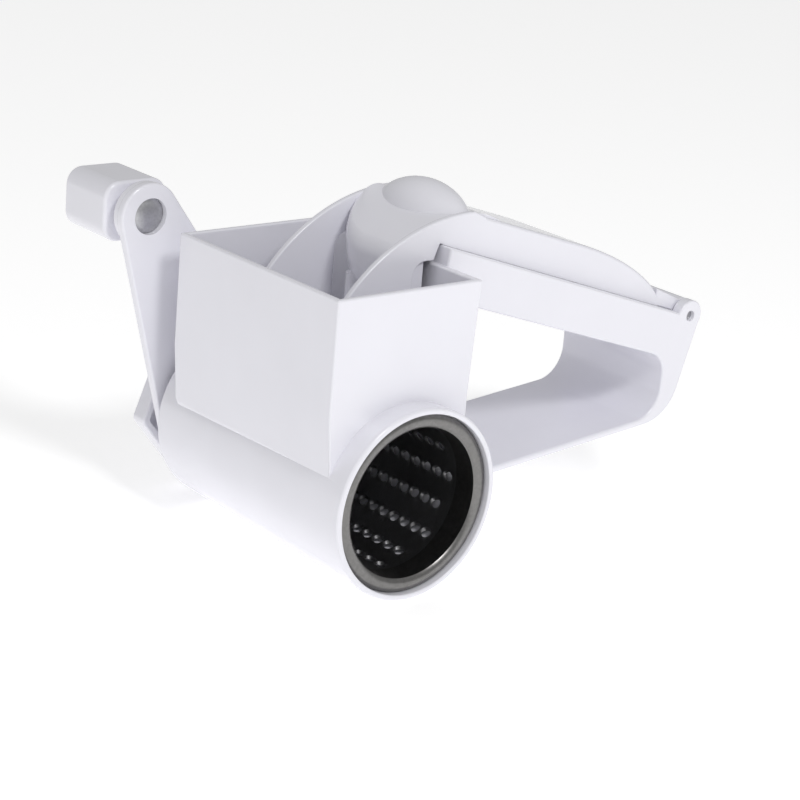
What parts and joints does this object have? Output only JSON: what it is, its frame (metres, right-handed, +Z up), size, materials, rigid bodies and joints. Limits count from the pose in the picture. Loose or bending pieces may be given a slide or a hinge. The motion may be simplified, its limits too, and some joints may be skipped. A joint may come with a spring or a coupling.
{
  "type": "rotary cheese grater",
  "caption": "Hand-cranked rotary cheese grater with a hopper, a closed loop handle, a hinged press arm and a toothed steel drum.",
  "frame": {"origin": "centre of the footprint, on the plane that the drum tube's lowest line touches", "axes": "+Z up out of the hopper, +Y along the drum from its mouth to the crank, +X from the drum to the handle's hinge"},
  "size_m": [0.201, 0.142, 0.1272],
  "materials": {
    "white_plastic": "glossy moulded",
    "bush_plastic": "plain",
    "dark_plastic": "matt",
    "drum_steel": "satin",
    "steel": "plain"
  },
  "bodies": {
    "housing": {"housing": "white_plastic", "rear_bush": "bush_plastic", "hinge_pin": "steel"},
    "press_arm": {"press_arm": "white_plastic", "presser_plate": "white_plastic", "plate_screws": "steel", "arm_bushes": "steel"},
    "drum_and_crank": {"drum_shell": "drum_steel", "drum_ring": "drum_steel", "drum_end_plate": "drum_steel", "drum_hub": "dark_plastic", "hub_rivets": "steel", "drive_shaft": "steel", "crank_arm": "white_plastic", "crank_washer": "steel", "crank_screw": "steel", "hub_cover": "white_plastic", "knob_spindle": "steel", "knob_clip": "steel"},
    "knob": {"knob": "white_plastic", "knob_cap": "white_plastic"}
  },
  "joints": [
    {"name": "press_arm_hinge", "type": "hinge", "parent": "housing", "child": "press_arm", "pos_m": [0.09471, -0.0191, 0.0717], "axis": [0, 1, 0], "range_deg": [0, 105]},
    {"name": "drum_turn", "type": "hinge", "parent": "housing", "child": "drum_and_crank", "pos_m": [-0.05229, 0.03355, 0.033], "axis": [0, 1, 0], "continuous": true},
    {"name": "knob_spin", "type": "hinge", "parent": "drum_and_crank", "child": "knob", "pos_m": [-0.08801, 0.04595, 0.10625], "axis": [0, 1, 0], "continuous": true}
  ]
}
